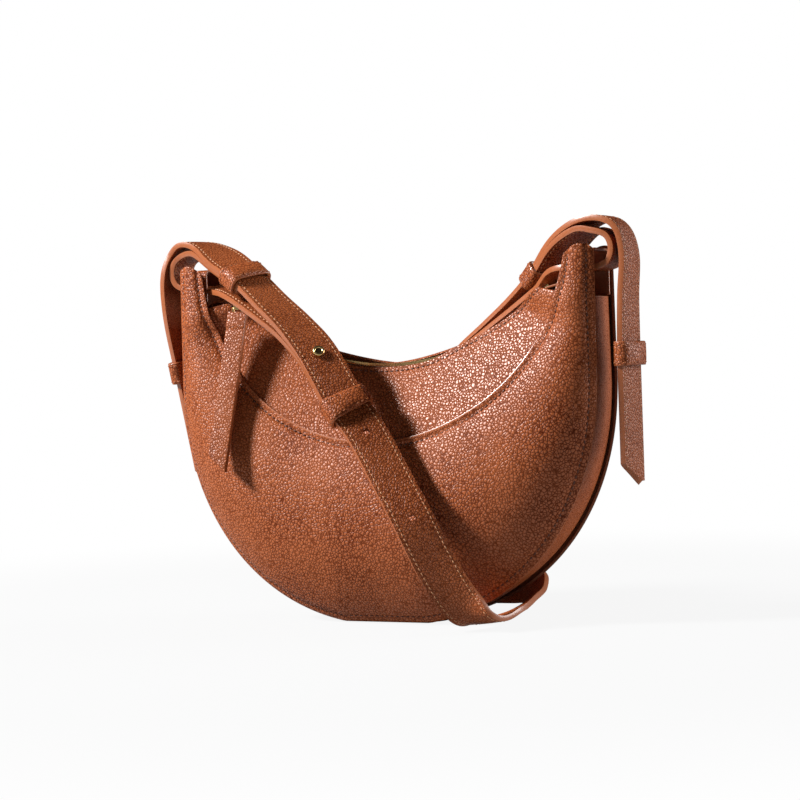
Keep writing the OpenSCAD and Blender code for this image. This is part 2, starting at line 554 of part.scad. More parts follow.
module left_anchor_strap() color("sienna") difference() {
    strap_solid(left_anchor_line, false, false);
    at_line(main_line, steps * stud_at) cylinder(d = hole_d, h = 6 * strap_t, center = true, $fn = 24);
}
module right_anchor_strap() color("sienna") difference() {
    strap_solid(right_anchor_line, false, false);
    at_line(main_line, steps * (len(main_shares) - 1 - stud_at))
        cylinder(d = hole_d, h = 6 * strap_t, center = true, $fn = 24);
}

// Keepers: flat sleeves of leather round one or two layers of strap
module keeper(pts, i, above, below) {
    function box_ring(k, grow) = let (f = frame_of(pts, i + k), c = [pts[i + k][0], pts[i + k][1], pts[i + k][2]],
        c0 = [pts[i][0], pts[i][1], pts[i][2]], o = k == 0 ? c : c0 + (c - c0) * keeper_w / 2 / norm(c - c0),
        w = f[2] * (strap_w / 2 + keeper_gap + grow),
        up = f[1] * (above * layer + strap_t / 2 + keeper_gap + grow),
        down = f[1] * (below * layer + strap_t / 2 + keeper_gap + grow))
        [o - w - down, o + w - down, o + w + up, o - w + up];
    corners = concat([for (k = [-1:1]) each box_ring(k, keeper_t)], [for (k = [-1:1]) each box_ring(k, 0)]);
    function quad(a, b, c, d) = [[a, b, c], [a, c, d]];
    faces = [for (k = [0:3]) let (n = (k + 1) % 4) each concat(
        quad(k, n, n + 4, k + 4), quad(k + 4, n + 4, n + 8, k + 8),
        quad(k + 12, k + 16, n + 16, n + 12), quad(k + 16, k + 20, n + 20, n + 16),
        quad(k, k + 12, n + 12, n), quad(k + 8, n + 8, n + 20, k + 20))];
    color("saddlebrown") polyhedron(corners, reversed(faces), convexity = 4);
}
last_point = len(main_line) - 1;
upper_at = steps * 10;
module front_upper_keeper() keeper(main_line, upper_at, 0, 1);
module back_upper_keeper() keeper(main_line, last_point - upper_at, 0, 1);
module front_lower_keeper() keeper(main_line, steps * keeper_at, 0, 1);
module back_lower_keeper() keeper(main_line, last_point - steps * keeper_at, 0, 1);
module left_tail_keeper() keeper(main_line, steps * 3, 0, 0);
module right_tail_keeper() keeper(main_line, last_point - steps * 3, 0, 0);

// Studs: a head outside, a washer inside, and a stem through both straps
stud_head = stud_d / 5;
stem_d = hole_d - 2 * layer_gap;
module stud(i) color("gold") at_line(main_line, i) {
    translate([0, 0, strap_t / 2 + layer_gap / 2]) cylinder(d = stud_d, h = stud_head, $fn = 48);
    translate([0, 0, -strap_t / 2 - layer - layer_gap / 2 - stud_head / 2])
        cylinder(d = stud_d, h = stud_head / 2, $fn = 48);
    translate([0, 0, -strap_t / 2 - layer - layer_gap / 2 - stud_head / 4])
        cylinder(d = stem_d, h = strap_t + layer + layer_gap + stud_head / 2, $fn = 32);
}
module left_stud() stud(steps * stud_at);
module right_stud() stud(last_point - steps * stud_at);

front_panel();
front_yoke();
back_panel();
back_yoke();
gusset();
left_horn_bridge();
right_horn_bridge();
left_end_cap();
right_end_cap();
front_foam();
back_foam();
base_board();
lining();
inner_pocket();
front_zip_tape();
back_zip_tape();
front_zip_teeth();
back_zip_teeth();
left_zip_stop();
right_zip_stop();
zip_slider();
pull_ring();
leather_pull();
main_strap();
left_anchor_strap();
right_anchor_strap();
front_upper_keeper();
back_upper_keeper();
front_lower_keeper();
back_lower_keeper();
left_tail_keeper();
right_tail_keeper();
left_stud();
right_stud();
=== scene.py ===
import json
import math
import bpy
from mathutils import Matrix, Vector, noise


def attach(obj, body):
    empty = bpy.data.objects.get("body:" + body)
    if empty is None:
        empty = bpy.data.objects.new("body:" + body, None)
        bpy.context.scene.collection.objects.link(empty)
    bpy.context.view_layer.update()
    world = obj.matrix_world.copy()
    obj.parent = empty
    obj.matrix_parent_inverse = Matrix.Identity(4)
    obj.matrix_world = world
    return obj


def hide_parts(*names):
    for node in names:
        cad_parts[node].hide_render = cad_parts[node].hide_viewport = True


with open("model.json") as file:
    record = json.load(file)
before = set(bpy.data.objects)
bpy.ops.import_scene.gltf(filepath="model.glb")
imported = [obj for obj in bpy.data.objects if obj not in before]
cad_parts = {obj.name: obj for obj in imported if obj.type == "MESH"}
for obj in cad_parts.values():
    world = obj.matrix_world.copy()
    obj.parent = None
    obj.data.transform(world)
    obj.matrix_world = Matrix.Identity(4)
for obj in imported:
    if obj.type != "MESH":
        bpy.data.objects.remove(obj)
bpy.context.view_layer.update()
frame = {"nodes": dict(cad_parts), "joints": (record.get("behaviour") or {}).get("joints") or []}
mm = 0.001
print("frame loaded")

# Camera: stands to the right of the bag's middle, almost level with it
cameraSet = {"turn": 26.0, "rise": 2.0, "roll": -2.08, "distance": 1.182, "lens": 94.5,
             "target": (0, 0, 0.1062), "shift": (0.00675, 0.0375)}


def addCamera(c):
    turn, rise, roll = (math.radians(c[k]) for k in ("turn", "rise", "roll"))
    back = Vector((math.sin(turn) * math.cos(rise), -math.cos(turn) * math.cos(rise), math.sin(rise)))
    side = Vector((math.cos(turn), math.sin(turn), 0))
    up = back.cross(side)
    right = side * math.cos(roll) + up * math.sin(roll)
    top = up * math.cos(roll) - side * math.sin(roll)
    data = bpy.data.cameras.new("camera")
    data.lens, data.sensor_width = c["lens"], 36
    data.shift_x, data.shift_y = c["shift"]
    data.clip_end = 20
    cam = bpy.data.objects.new("camera", data)
    bpy.context.scene.collection.objects.link(cam)
    turned = Matrix((right, top, back)).transposed().to_4x4()
    cam.matrix_world = Matrix.Translation(Vector(c["target"]) + back * c["distance"]) @ turned
    bpy.context.scene.camera = cam


addCamera(cameraSet)

# Materials
# The crease colour below is painted shade in the pebble creases, and the crease shine is lowered as painted
# shade on reflections
leatherSet = {"base": (0.36, 0.088, 0.021), "creaseShade": (0.09, 0.014, 0.003), "light": (0.46, 0.13, 0.042),
              "pebble": 0.0017, "depth": 0.0002, "wobble": 0.0012, "crown": 0.36, "creaseRough": 0.16,
              "creaseShine": 0.04, "patches": 0.35}


def newMaterial(name):
    m = bpy.data.materials.new(name)
    m.use_nodes = True
    t = m.node_tree
    return m, t, t.nodes["Principled BSDF"]


def link(t, a, b):
    t.links.new(a, b)


def node(t, kind, **values):
    n = t.nodes.new(kind)
    for k, v in values.items():
        if k in n.inputs:
            n.inputs[k].default_value = v
        else:
            setattr(n, k, v)
    return n


def pebbledLeather(name, s=leatherSet, pebble=1.0, depth=1.0, tone=1.0, rough=0.38, shine=0.44):
    m, t, b = newMaterial(name)
    where = node(t, "ShaderNodeTexCoord")
    wobble = node(t, "ShaderNodeTexNoise", Scale=260.0, Detail=2.0)
    link(t, where.outputs["Object"], wobble.inputs["Vector"])
    wobbleAmount = node(t, "ShaderNodeVectorMath", operation="SCALE")
    wobbleAmount.inputs["Scale"].default_value = s["wobble"]
    link(t, wobble.outputs["Color"], wobbleAmount.inputs[0])
    moved = node(t, "ShaderNodeVectorMath", operation="ADD")
    link(t, where.outputs["Object"], moved.inputs[0])
    link(t, wobbleAmount.outputs[0], moved.inputs[1])
    cells = node(t, "ShaderNodeTexVoronoi", feature="DISTANCE_TO_EDGE")
    middles = node(t, "ShaderNodeTexVoronoi", feature="F1")
    for v in (cells, middles):
        v.inputs["Scale"].default_value = 1 / (s["pebble"] * pebble)
        link(t, moved.outputs[0], v.inputs["Vector"])
    # Crease mask: darkens the colour in the pebble creases as painted shade, lowers their specular level as
    # painted shade on reflections, and roughens them
    creaseShadeMask = node(t, "ShaderNodeMapRange", interpolation_type="SMOOTHSTEP")
    creaseShadeMask.inputs["From Max"].default_value = 0.2
    link(t, cells.outputs["Distance"], creaseShadeMask.inputs["Value"])
    crown = node(t, "ShaderNodeMapRange", interpolation_type="SMOOTHSTEP")
    crown.inputs["From Min"].default_value, crown.inputs["From Max"].default_value = 0.8, 0.0
    link(t, middles.outputs["Distance"], crown.inputs["Value"])
    crease = node(t, "ShaderNodeMapRange", interpolation_type="SMOOTHSTEP")
    crease.inputs["From Max"].default_value = 0.24
    link(t, cells.outputs["Distance"], crease.inputs["Value"])
    height = node(t, "ShaderNodeMix", data_type="FLOAT", Factor=s["crown"])
    link(t, crease.outputs["Result"], height.inputs["A"])
    link(t, crown.outputs["Result"], height.inputs["B"])
    relief = node(t, "ShaderNodeBump", Strength=1.0)
    relief.inputs["Distance"].default_value = s["depth"] * depth
    link(t, height.outputs["Result"], relief.inputs["Height"])
    link(t, relief.outputs["Normal"], b.inputs["Normal"])
    colour = node(t, "ShaderNodeMix", data_type="RGBA")
    colour.inputs["A"].default_value = (*(c * tone for c in s["creaseShade"]), 1)
    colour.inputs["B"].default_value = (*(c * tone for c in s["base"]), 1)
    link(t, creaseShadeMask.outputs["Result"], colour.inputs["Factor"])
    broad = node(t, "ShaderNodeTexNoise", Scale=22.0, Detail=4.0)
    link(t, where.outputs["Object"], broad.inputs["Vector"])
    patches = node(t, "ShaderNodeMapRange")
    patches.inputs["From Min"].default_value, patches.inputs["From Max"].default_value = 0.35, 0.7
    patches.inputs["To Max"].default_value = s["patches"]
    link(t, broad.outputs["Fac"], patches.inputs["Value"])
    tint = node(t, "ShaderNodeMix", data_type="RGBA")
    tint.inputs["B"].default_value = (*(c * tone for c in s["light"]), 1)
    link(t, colour.outputs["Result"], tint.inputs["A"])
    link(t, patches.outputs["Result"], tint.inputs["Factor"])
    link(t, tint.outputs["Result"], b.inputs["Base Color"])
    sheen = node(t, "ShaderNodeMapRange")
    sheen.inputs["To Min"].default_value = rough + s["creaseRough"]
    sheen.inputs["To Max"].default_value = rough
    link(t, creaseShadeMask.outputs["Result"], sheen.inputs["Value"])
    link(t, sheen.outputs["Result"], b.inputs["Roughness"])
    gloss = node(t, "ShaderNodeMapRange")
    gloss.inputs["To Min"].default_value = s["creaseShine"]
    gloss.inputs["To Max"].default_value = shine
    link(t, creaseShadeMask.outputs["Result"], gloss.inputs["Value"])
    link(t, gloss.outputs["Result"], b.inputs["Specular IOR Level"])
    return m


def noisyMaterial(name, colour, darker, scale, rough, bumpDepth, metallic=0.0):
    m, t, b = newMaterial(name)
    where = node(t, "ShaderNodeTexCoord")
    grain = node(t, "ShaderNodeTexNoise", Scale=scale, Detail=5.0)
    link(t, where.outputs["Object"], grain.inputs["Vector"])
    mix = node(t, "ShaderNodeMix", data_type="RGBA")
    mix.inputs["A"].default_value, mix.inputs["B"].default_value = (*darker, 1), (*colour, 1)
    link(t, grain.outputs["Fac"], mix.inputs["Factor"])
    link(t, mix.outputs["Result"], b.inputs["Base Color"])
    relief = node(t, "ShaderNodeBump", Strength=0.5, Distance=bumpDepth)
    link(t, grain.outputs["Fac"], relief.inputs["Height"])
    link(t, relief.outputs["Normal"], b.inputs["Normal"])
    spread = node(t, "ShaderNodeMapRange")
    spread.inputs["To Min"].default_value = rough - 0.07
    spread.inputs["To Max"].default_value = rough + 0.1
    link(t, grain.outputs["Fac"], spread.inputs["Value"])
    link(t, spread.outputs["Result"], b.inputs["Roughness"])
    b.inputs["Metallic"].default_value = metallic
    return m


def wovenMaterial(name, colour, darker, thread):
    m, t, b = newMaterial(name)
    where = node(t, "ShaderNodeTexCoord")
    waves = []
    for direction in ("X", "Z"):
        w = node(t, "ShaderNodeTexWave", bands_direction=direction, Scale=0.5 / thread)
        link(t, where.outputs["Object"], w.inputs["Vector"])
        waves.append(w)
    both = node(t, "ShaderNodeMath", operation="MULTIPLY")
    link(t, waves[0].outputs["Fac"], both.inputs[0])
    link(t, waves[1].outputs["Fac"], both.inputs[1])
    mix = node(t, "ShaderNodeMix", data_type="RGBA")
    mix.inputs["A"].default_value, mix.inputs["B"].default_value = (*darker, 1), (*colour, 1)
    link(t, both.outputs[0], mix.inputs["Factor"])
    link(t, mix.outputs["Result"], b.inputs["Base Color"])
    relief = node(t, "ShaderNodeBump", Strength=0.6, Distance=thread * 0.3)
    link(t, both.outputs[0], relief.inputs["Height"])
    link(t, relief.outputs["Normal"], b.inputs["Normal"])
    b.inputs["Roughness"].default_value = 0.85
    b.inputs["Sheen Weight"].default_value = 0.2
    return m


sideLeather = pebbledLeather("sideLeather")
strapLeather = pebbledLeather("strapLeather", pebble=0.92, depth=1.15, tone=0.86, shine=0.38)
gussetLeather = pebbledLeather("gussetLeather", pebble=0.55, depth=0.4, rough=0.5, tone=1.1, shine=0.25)
edgePaint = noisyMaterial("edgePaint", (0.40, 0.125, 0.045), (0.27, 0.07, 0.022), 900, 0.3, 0.00005)
edgePaint.node_tree.nodes["Principled BSDF"].inputs["Coat Weight"].default_value = 0.2
innerFace = noisyMaterial("innerFace", (0.30, 0.10, 0.04), (0.16, 0.05, 0.02), 1500, 0.75, 0.0001)
# The seam thread and the strap thread are shaded and lit copies of one thread: the seam thread is darkened as
# painted shade in the stitch grooves, and the strap thread is lightened as painted light on the lit straps
seamThreadShaded = noisyMaterial("seamThreadShaded", (0.13, 0.03, 0.009), (0.05, 0.012, 0.004), 4000, 0.5, 0.0001)
orangeThread = noisyMaterial("orangeThread", (0.46, 0.15, 0.045), (0.26, 0.07, 0.02), 4000, 0.5, 0.0001)
strapThreadLit = noisyMaterial("strapThreadLit", (0.62, 0.33, 0.17), (0.42, 0.17, 0.07), 4000, 0.5, 0.0001)
zipCloth = wovenMaterial("zipCloth", (0.28, 0.09, 0.03), (0.12, 0.035, 0.012), 0.0006)
liningCloth = wovenMaterial("liningCloth", (0.30, 0.17, 0.09), (0.18, 0.10, 0.05), 0.0005)
paddingFoam = noisyMaterial("paddingFoam", (0.85, 0.82, 0.75), (0.7, 0.66, 0.58), 1200, 0.9, 0.0003)
baseBoardCard = noisyMaterial("baseBoardCard", (0.30, 0.25, 0.2), (0.2, 0.16, 0.12), 700, 0.8, 0.0001)
goldMetal = noisyMaterial("goldMetal", (0.83, 0.60, 0.28), (0.72, 0.48, 0.19), 900, 0.24, 0.00002, 1.0)
# Dark metal for the stud discs: painted dark reflection in the dished heads
dishReflectionMetal = noisyMaterial("dishReflectionMetal", (0.16, 0.10, 0.05), (0.06, 0.04, 0.02), 900, 0.4, 0.00002, 1.0)
print("materials made")

# Shape of the bag
bag = {"half": 128.0, "height": 205.0, "gussetLow": 36.0, "gussetTop": 29.0, "frontBulge": 26.0,
       "backBulge": 29.0, "horn": 16.0, "seamLow": 101.0, "zipLow": 142.0, "base": 52.0,
       "leather": 1.4, "gap": 0.3, "rim": 4.5, "swell": 3.0, "mouth": 8.0, "frontLip": 0.5,
       "backLip": 3.4, "frontRise": 3.3, "low": 11 / 16, "shoulder": 0.66, "rimTop": 0.985,
       "hornIn": 0.97, "round": 2.15, "seamAngles": (58, 84), "mouthShares": (0.56, 1.0),
       "seam": 0.71, "flange": 0.06, "hornDip": 0.16}
seamHalf = bag["half"] - bag["horn"]
zipEnd = seamHalf - bag["horn"] * bag["hornDip"]
zipRise = bag["height"] * bag["hornIn"] - bag["horn"] * bag["hornDip"] - bag["zipLow"]
zipRadius = (zipEnd ** 2 + zipRise ** 2) / (2 * zipRise)
zipMiddle = bag["zipLow"] + zipRadius
zipAngle = math.asin(zipEnd / zipRadius)
baseDrop = 1 - (1 - (bag["base"] / 2 / bag["half"]) ** bag["round"]) ** (1 / bag["round"])


def mixed(a, b, t):
    return a + (b - a) * t


def smooth(t):
    t = max(0.0, min(1.0, t))
    return t * t * (3 - 2 * t)


def stretched(u, mid, last):
    low = bag["low"]
    return mid * abs(u) / low if abs(u) <= low else mixed(mid, last, (abs(u) - low) / (1 - low))


def rimPoint(u):
    a = math.radians(stretched(u, 90, 90))
    shoulder = bag["height"] * bag["shoulder"]
    if abs(u) <= bag["low"]:
        rise = 1 - max(0.0, math.cos(a)) ** (2 / bag["round"])
        return (math.copysign(bag["half"] * math.sin(a) ** (2 / bag["round"]), u),
                max(0.0, rise - baseDrop) / (1 - baseDrop) * shoulder)
    return (math.copysign(bag["half"], u), mixed(shoulder, bag["height"] * bag["rimTop"],
                                               (abs(u) - bag["low"]) / (1 - bag["low"])))


def seamPoint(u):
    a = math.radians(stretched(u, *bag["seamAngles"]))
    top = math.radians(bag["seamAngles"][1])
    rise = (1 - math.cos(a)) / (1 - math.cos(top))
    return (math.copysign(seamHalf * math.sin(a), u),
            mixed(bag["seamLow"], bag["height"] * bag["hornIn"], rise))


def lip(side, u):
    low = bag["frontLip" if side < 0 else "backLip"]
    rise = low * (1 + 0.8 * math.sin(math.pi * min(1, abs(u) / 0.9)) - smooth((abs(u) - 0.8) / 0.2))
    extra = bag["frontRise"] * smooth((abs(u) - 0.2) / 0.3) * (1 - smooth((abs(u) - 0.84) / 0.12))
    return rise + (extra if side < 0 else 0)


def mouthPoint(side, u):
    a = zipAngle * stretched(u, *bag["mouthShares"])
    return (math.copysign(zipRadius * math.sin(a), u),
            zipMiddle - zipRadius * math.cos(a) + lip(side, u))


def planePoint(side, u, v):
    if v <= bag["seam"]:
        a, b, t = rimPoint(u), seamPoint(u), v / bag["seam"]
    else:
        a, b, t = seamPoint(u), mouthPoint(side, u), (v - bag["seam"]) / (1 - bag["seam"])
    return (mixed(a[0], b[0], t), mixed(a[1], b[1], t))


def span(side, u):
    return math.dist(rimPoint(u), mouthPoint(side, u))


def dome(side, v):
    front = math.sin(math.pi * v ** 0.8)
    if side < 0:
        return front
    back = max(0.0, math.sin(math.pi * v ** 0.66)) ** 0.8
    return mixed(front, back, smooth((v - 0.03) / 0.14))


def skin(side, u, v):
    x, z = planePoint(side, u, v)
    rimHalf = mixed(bag["gussetLow"], bag["gussetTop"], rimPoint(u)[1] / bag["height"]) / 2
    mouthHalf = mixed(bag["mouth"], bag["gussetTop"] / 2, smooth((abs(u) - 0.76) / 0.1))
    bulge = bag["frontBulge"] if side < 0 else bag["backBulge"]
    y = mixed(rimHalf, mouthHalf, v) + bulge * (span(side, u) / span(side, 0)) ** 0.9 * dome(side, v)
    return Vector((x, side * y, z))


def facing(side, u, v):
    d = 0.004
    w = max(2 * d, min(1 - 2 * d, v))
    a = skin(side, min(1, u + d), w) - skin(side, max(-1, u - d), w)
    n = a.cross(skin(side, u, w + d) - skin(side, u, w - d)).normalized()
    return n if n.y * side > 0 else -n


def flangeShare(u):
    a, b = rimPoint(u), seamPoint(u)
    return bag["seam"] * bag["rim"] / math.hypot(a[0] - b[0], a[1] - b[1])


def linePoint(u, v):
    f = bag["flange"]
    if v <= f:
        return flangeShare(u) * v / f
    return mixed(flangeShare(u), bag["seam"], (v - f) / (bag["seam"] - f)) if v <= bag["seam"] else v


def under(side, u, v, off):
    w = linePoint(u, v)
    n = facing(side, u, w)
    return skin(side, u, w) - n * off, n


hornTopSet = {"start": 0.93, "blend": 0.07, "extra": 2, "radius": 3.2, "arch": 3.2, "drop": 2.2}


def hornTop(u, b, s=hornTopSet):
    # b runs from rim to seam; the end of the horn has rounded corners and an arched top
    near = smooth((abs(u) - s["start"]) / s["blend"])
    d = min(b, 1 - b) * (bag["horn"] + s["extra"])
    corner = 1 - math.sqrt(max(0.0, 1 - (1 - min(1, d / s["radius"])) ** 2))
    return near * (s["arch"] * math.sin(math.pi * b) - s["drop"] * corner)


def rimOut(u):
    d = 0.01
    a, b = rimPoint(min(1, u + d)), rimPoint(max(-1, u - d))
    v = Vector((a[1] - b[1], 0, b[0] - a[0]))
    return v.normalized()


def gussetPoint(u, w, off):
    a, b = (under(s, u, bag["flange"], bag["leather"] + bag["gap"])[0] for s in (-1, 1))
    flat = 1 - smooth((abs(rimPoint(u)[0]) - bag["base"] / 2) / bag["base"])
    swell = mixed(bag["swell"], bag["rim"] + 1.5 * bag["leather"], flat)
    out = rimOut(u)
    p = a.lerp(b, (1 + w) / 2) + out * (swell * (1 - w ** 4) - off)
    p.z = max(p.z, off)
    return p, out


# Modelling
def deselectAll():
    if bpy.context.object and bpy.context.object.mode != "OBJECT":
        bpy.ops.object.mode_set(mode="OBJECT")
    bpy.ops.object.select_all(action="DESELECT")


def makeSheet(name, along, across, place, thickness, materials, closed=False, bevel=0.35, offset=-1.0,
              edgeRows=(0, 0)):
    deselectAll()
    bpy.ops.mesh.primitive_grid_add(x_subdivisions=along, y_subdivisions=across, size=2)
    o = bpy.context.object
    o.name = o.data.name = name
    for m in materials:
        o.data.materials.append(m)
    spots = [place((v.co.x + 1) / 2, (v.co.y + 1) / 2) for v in o.data.vertices]
    for p in o.data.polygons:
        b = (p.center.y + 1) / 2 * across
        p.material_index = 1 if b < edgeRows[0] or b > across - edgeRows[1] else 0
    for v, (p, n) in zip(o.data.vertices, spots):
        v.co = p * mm
    o.data.update()
    middle = o.data.polygons[len(o.data.polygons) // 2]
    wanted = spots[middle.vertices[0]][1]
    bpy.ops.object.mode_set(mode="EDIT")
    bpy.ops.mesh.select_all(action="SELECT")
    if closed:
        bpy.ops.mesh.remove_doubles(threshold=1e-5)
    if middle.normal.dot(wanted) < 0:
        bpy.ops.mesh.flip_normals()
    bpy.ops.object.mode_set(mode="OBJECT")
    wall = o.modifiers.new("wall", "SOLIDIFY")
    wall.thickness, wall.offset = thickness * mm, offset
    wall.material_offset_rim = 1 if len(materials) > 1 else 0
    wall.material_offset = 2 if len(materials) > 2 else 0
    bpy.ops.object.modifier_apply(modifier="wall")
    if bevel:
        edges = o.modifiers.new("edges", "BEVEL")
        edges.width, edges.segments, edges.limit_method = bevel * mm, 2, "ANGLE"
        edges.angle_limit = math.radians(55)
        edges.material = 1 if len(materials) > 1 else -1
        bpy.ops.object.modifier_apply(modifier="edges")
    bpy.ops.object.shade_smooth_by_angle(angle=math.radians(50))
    return o


def finishPiece(o, body, slot, *nodes):
    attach(o, body)
    if nodes:
        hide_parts(*nodes)
    return o


def stitchShape():
    deselectAll()
    bpy.ops.mesh.primitive_uv_sphere_add(segments=8, ring_count=5, radius=1)
    o = bpy.context.object
    verts = [v.co.copy() for v in o.data.vertices]
    faces = [tuple(p.vertices) for p in o.data.polygons]
    bpy.data.objects.remove(o)
    return verts, faces


stitchVerts, stitchFaces = stitchShape()
stitchSet = {"pitch": 3.2, "length": 2.2, "width": 1.05, "height": 0.5, "sink": 0.05}
strapStitchSet = {"pitch": 2.9, "length": 1.9, "width": 0.72, "height": 0.45, "sink": 0.02}


def makeStitches(name, line, body, slot="side_leather", s=stitchSet, material=None, skipEnds=1):
    verts, faces = [], []
    lengths = [0.0]
    for a, b in zip(line, line[1:]):
        lengths.append(lengths[-1] + (b[0] - a[0]).length)
    count = max(2, int(lengths[-1] / s["pitch"]))
    k = 0
    for i in range(skipEnds, count - skipEnds + 1):
        where = lengths[-1] * i / count
        while k < len(line) - 2 and lengths[k + 1] < where:
            k += 1
        t = (where - lengths[k]) / max(1e-9, lengths[k + 1] - lengths[k])
        p, n = line[k][0].lerp(line[k + 1][0], t), line[k][1].lerp(line[k + 1][1], t).normalized()
        run = (line[k + 1][0] - line[k][0]).normalized()
        n = (n - run * n.dot(run)).normalized()
        wide = n.cross(run)
        run = (run + wide * 0.12).normalized()
        start = len(verts)
        for c in stitchVerts:
            q = p + run * c.z * s["length"] / 2 + wide * c.x * s["width"] / 2
            q = q + n * (c.y * s["height"] - s["sink"])
            verts.append(q * mm)
        faces += [tuple(j + start for j in f) for f in stitchFaces]
    mesh = bpy.data.meshes.new(name)
    mesh.from_pydata(verts, [], faces)
    mesh.materials.append(material or seamThreadShaded)
    mesh.polygons.foreach_set("use_smooth", [True] * len(mesh.polygons))
    o = bpy.data.objects.new(name, mesh)
    bpy.context.scene.collection.objects.link(o)
    deselectAll()
    o.select_set(True)
    bpy.context.view_layer.objects.active = o
    bpy.ops.object.mode_set(mode="EDIT")
    bpy.ops.mesh.select_all(action="SELECT")
    bpy.ops.mesh.normals_make_consistent(inside=False)
    bpy.ops.object.mode_set(mode="OBJECT")
    return finishPiece(o, body, slot)


# Sides and yokes
sideSet = {"columns": 260, "rows": 84, "stitchIn": 3.3, "seamStitch": 3.2, "dent": 0.7,
           "unevenness": 0.45, "lift": 0.5, "liftWide": 2.6}
dentWidth = 1.3
yokeSet = {"columns": 220, "rows": 44, "start": 0.662, "end": 14 / 16, "stitchIn": 2.3, "dent": 0.35,
           "wall": 1.5, "under": 1.6}


def dented(d, s):
    return s["dent"] * math.exp(-(d / dentWidth) ** 2)


def sidePlace(side, s=sideSet):
    def place(a, b):
        u = 2 * a - 1
        e = 0.5 - 0.5 * math.cos(math.pi * b)          # rows lie closer at rim and seam
        v = bag["seam"] * mixed(b, e, 0.7)
        p, n = under(side, u, v, 0)
        w = linePoint(u, v)
        reach = math.dist(rimPoint(u), seamPoint(u)) / bag["seam"]
        off = dented(w * reach - s["stitchIn"], s)
        off += dented((bag["seam"] - w) * reach - s["seamStitch"], s)
        off -= s["unevenness"] * noise.noise(p * 0.03 + Vector((side * 7, 0, 0))) * smooth(w / 0.1)
        off -= s["lift"] * smooth(1 - (bag["seam"] - w) * reach / s["liftWide"])
        p.z += hornTop(u, w / bag["seam"])
        return p - n * off, n
    return place


def yokePlace(side, s=yokeSet):
    def place(a, b):
        u = s["end"] * (2 * a - 1)
        e = 0.5 - 0.5 * math.cos(math.pi * b)
        v = mixed(s["start"], 1, mixed(b, e, 0.6))
        p, n = under(side, u, v, s["under"])
        reach = math.dist(seamPoint(u), mouthPoint(side, u)) / (1 - bag["seam"])
        off = dented((1 - v) * reach - s["stitchIn"], s)
        off -= 0.4 * noise.noise(p * 0.035 + Vector((side * 3, 5, 0)))
        return p - n * off, n
    return place


def sideLine(side, distance, fromRim, steps=300):
    line = []
    for i in range(steps + 1):
        u = 2 * i / steps - 1
        reach = math.dist(rimPoint(u), seamPoint(u)) / bag["seam"]
        w = distance / reach if fromRim else bag["seam"] - distance / reach
        n = facing(side, u, w)
        line.append((skin(side, u, w) - n * sideSet["dent"], n))
    return line


def yokeLine(side, steps=240):
    line = []
    for i in range(steps + 1):
        u = yokeSet["end"] * (2 * i / steps - 1)
        reach = math.dist(seamPoint(u), mouthPoint(side, u)) / (1 - bag["seam"])
        p, n = under(side, u, 1 - yokeSet["stitchIn"] / reach, yokeSet["under"] + yokeSet["dent"])
        line.append((p, n))
    return line


for side, word in ((-1, "front"), (1, "back")):
    panel = makeSheet(word + "SidePanel", sideSet["columns"], sideSet["rows"], sidePlace(side),
                      bag["leather"], (sideLeather, edgePaint, innerFace), edgeRows=(1, 2))
    finishPiece(panel, "bag", "side_leather", word + "_panel")
    yoke = makeSheet(word + "Yoke", yokeSet["columns"], yokeSet["rows"], yokePlace(side), yokeSet["wall"],
                     (sideLeather, sideLeather, innerFace))
    finishPiece(yoke, "bag", "side_leather", word + "_yoke")
    makeStitches(word + "RimStitches", sideLine(side, sideSet["stitchIn"], True), "bag")
    makeStitches(word + "SeamStitches", sideLine(side, sideSet["seamStitch"], False), "bag")
    makeStitches(word + "YokeStitches", yokeLine(side), "bag")
print("sides made")

# Gusset
gussetSet = {"columns": 240, "rows": 20, "end": 14 / 16, "wall": 1.4}


def gussetPlace(a, b):
    return gussetPoint(gussetSet["end"] * (2 * a - 1), 2 * b - 1, 0)


gusset = makeSheet("gussetStrip", gussetSet["columns"], gussetSet["rows"], gussetPlace,
                   gussetSet["wall"], (gussetLeather, edgePaint, innerFace))
finishPiece(gusset, "bag", "trim_leather", "gusset")

# Horns: bridges, end caps
hornSet = {"halfInside": 12.5, "wall": 1.4, "top": 201.6, "bevel": 4.0, "leg": 25.0,
           "middle": 119.1, "wide": 15.0}
capSet = {"half": 9.7, "stop": 43.72, "over": (2.6, 1.8), "in": 4.5, "rise": 9, "leg": 8,
          "outer": 4.5 + 2.8 + 0.3, "bevel": 3.0}


def roundedPath(points, radius, steps=8):
    path = [Vector(points[0])]
    for a, b, c in zip(points, points[1:], points[2:]):
        a, b, c = Vector(a), Vector(b), Vector(c)
        p, q = b + (a - b).normalized() * radius, b + (c - b).normalized() * radius
        for i in range(steps + 1):
            t = i / steps
            path.append(p * (1 - t) ** 2 + b * 2 * t * (1 - t) + q * t * t)
    path.append(Vector(points[-1]))
    return path


def onPath(path, t):
    lengths = [0.0]
    for a, b in zip(path, path[1:]):
        lengths.append(lengths[-1] + (b - a).length)
    where = t * lengths[-1]
    k = 0
    while k < len(path) - 2 and lengths[k + 1] < where:
        k += 1
    return path[k].lerp(path[k + 1], (where - lengths[k]) / max(1e-9, lengths[k + 1] - lengths[k])), \
        (path[k + 1] - path[k]).normalized()


def bridgePlace(side):
    h = hornSet["halfInside"]
    low, top = hornSet["top"] - hornSet["leg"], hornSet["top"]
    path = roundedPath([(-h, low, 0), (-h, top, 0), (h, top, 0), (h, low, 0)], hornSet["bevel"])

    def place(a, b):
        p, run = onPath(path, a)
        x = side * (hornSet["middle"] + (b - 0.5) * hornSet["wide"])
        return Vector((x, p.x, p.y)), Vector((0, -run.y, run.x))
    return place


